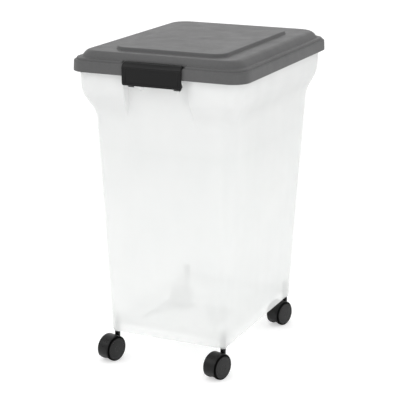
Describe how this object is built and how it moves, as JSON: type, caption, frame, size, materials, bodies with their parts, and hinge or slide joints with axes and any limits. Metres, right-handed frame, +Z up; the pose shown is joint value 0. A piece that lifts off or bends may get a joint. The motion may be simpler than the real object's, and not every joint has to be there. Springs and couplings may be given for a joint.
{
  "type": "rolling pet food bin",
  "caption": "Tall tapered translucent storage bin for dry pet food, with a hinged grey lid, a front latch that hooks over the lid and swivelling twin-wheel casters.",
  "frame": {"origin": "on the floor, in the middle of the rectangle that the whole bin covers", "axes": "+Z up, +X to the right along the side with the latch, -Y out of that side, so +Y points to the lid hinge"},
  "size_m": [0.3528, 0.465, 0.622],
  "materials": {
    "tub_plastic": "translucent natural polypropylene, satin",
    "lid_plastic": "mid grey moulded polypropylene, fine matt texture",
    "latch_plastic": "near-black moulded plastic, satin",
    "caster_plastic": "dark grey moulded nylon, satin",
    "wheel_plastic": "dark grey moulded nylon, satin face, worn tread",
    "seal_foam": "soft closed-cell sealing strip, matt",
    "steel": "zinc-plated steel"
  },
  "bodies": {
    "bin": {"bin_body": "tub_plastic", "left_hinge_pin": "steel", "right_hinge_pin": "steel", "front_left_caster_stem": "steel", "front_left_caster_grip_ring": "steel", "front_right_caster_stem": "steel", "front_right_caster_grip_ring": "steel", "rear_left_caster_stem": "steel", "rear_left_caster_grip_ring": "steel", "rear_right_caster_stem": "steel", "rear_right_caster_grip_ring": "steel"},
    "lid": {"lid": "lid_plastic", "lid_seal": "seal_foam"},
    "latch": {"latch": "latch_plastic"},
    "front_left_caster": {"front_left_caster_housing": "caster_plastic", "front_left_caster_axle": "steel"},
    "front_left_caster_left_wheel": {"front_left_caster_left_wheel": "wheel_plastic"},
    "front_left_caster_right_wheel": {"front_left_caster_right_wheel": "wheel_plastic"},
    "front_right_caster": {"front_right_caster_housing": "caster_plastic", "front_right_caster_axle": "steel"},
    "front_right_caster_left_wheel": {"front_right_caster_left_wheel": "wheel_plastic"},
    "front_right_caster_right_wheel": {"front_right_caster_right_wheel": "wheel_plastic"},
    "rear_left_caster": {"rear_left_caster_housing": "caster_plastic", "rear_left_caster_axle": "steel"},
    "rear_left_caster_left_wheel": {"rear_left_caster_left_wheel": "wheel_plastic"},
    "rear_left_caster_right_wheel": {"rear_left_caster_right_wheel": "wheel_plastic"},
    "rear_right_caster": {"rear_right_caster_housing": "caster_plastic", "rear_right_caster_axle": "steel"},
    "rear_right_caster_left_wheel": {"rear_right_caster_left_wheel": "wheel_plastic"},
    "rear_right_caster_right_wheel": {"rear_right_caster_right_wheel": "wheel_plastic"}
  },
  "joints": [
    {"name": "lid_hinge", "type": "hinge", "parent": "bin", "child": "lid", "pos_m": [0, 0.2265, 0.58], "axis": [-1, 0, 0], "range_deg": [0, 105]},
    {"name": "latch_pivot", "type": "hinge", "parent": "bin", "child": "latch", "pos_m": [0, -0.2215, 0.5614], "axis": [1, 0, 0], "range_deg": [0, 130]},
    {"name": "front_left_caster_swivel", "type": "hinge", "parent": "bin", "child": "front_left_caster", "pos_m": [-0.1135, -0.166, 0.05], "axis": [0, 0, 1], "continuous": true},
    {"name": "front_left_caster_left_wheel_spin", "type": "hinge", "parent": "front_left_caster", "child": "front_left_caster_left_wheel", "pos_m": [-0.11853, -0.18245, 0.0244], "axis": [0.9563, -0.2924, 0], "continuous": true},
    {"name": "front_left_caster_right_wheel_spin", "type": "hinge", "parent": "front_left_caster", "child": "front_left_caster_right_wheel", "pos_m": [-0.11853, -0.18245, 0.0244], "axis": [0.9563, -0.2924, 0], "continuous": true},
    {"name": "front_right_caster_swivel", "type": "hinge", "parent": "bin", "child": "front_right_caster", "pos_m": [0.1135, -0.166, 0.05], "axis": [0, 0, 1], "continuous": true},
    {"name": "front_right_caster_left_wheel_spin", "type": "hinge", "parent": "front_right_caster", "child": "front_right_caster_left_wheel", "pos_m": [0.10847, -0.18245, 0.0244], "axis": [0.9563, -0.2924, 0], "continuous": true},
    {"name": "front_right_caster_right_wheel_spin", "type": "hinge", "parent": "front_right_caster", "child": "front_right_caster_right_wheel", "pos_m": [0.10847, -0.18245, 0.0244], "axis": [0.9563, -0.2924, 0], "continuous": true},
    {"name": "rear_left_caster_swivel", "type": "hinge", "parent": "bin", "child": "rear_left_caster", "pos_m": [-0.1135, 0.155, 0.05], "axis": [0, 0, 1], "continuous": true},
    {"name": "rear_left_caster_left_wheel_spin", "type": "hinge", "parent": "rear_left_caster", "child": "rear_left_caster_left_wheel", "pos_m": [-0.11853, 0.13855, 0.0244], "axis": [0.9563, -0.2924, 0], "continuous": true},
    {"name": "rear_left_caster_right_wheel_spin", "type": "hinge", "parent": "rear_left_caster", "child": "rear_left_caster_right_wheel", "pos_m": [-0.11853, 0.13855, 0.0244], "axis": [0.9563, -0.2924, 0], "continuous": true},
    {"name": "rear_right_caster_swivel", "type": "hinge", "parent": "bin", "child": "rear_right_caster", "pos_m": [0.1135, 0.155, 0.05], "axis": [0, 0, 1], "continuous": true},
    {"name": "rear_right_caster_left_wheel_spin", "type": "hinge", "parent": "rear_right_caster", "child": "rear_right_caster_left_wheel", "pos_m": [0.10847, 0.13855, 0.0244], "axis": [0.9563, -0.2924, 0], "continuous": true},
    {"name": "rear_right_caster_right_wheel_spin", "type": "hinge", "parent": "rear_right_caster", "child": "rear_right_caster_right_wheel", "pos_m": [0.10847, 0.13855, 0.0244], "axis": [0.9563, -0.2924, 0], "continuous": true}
  ]
}
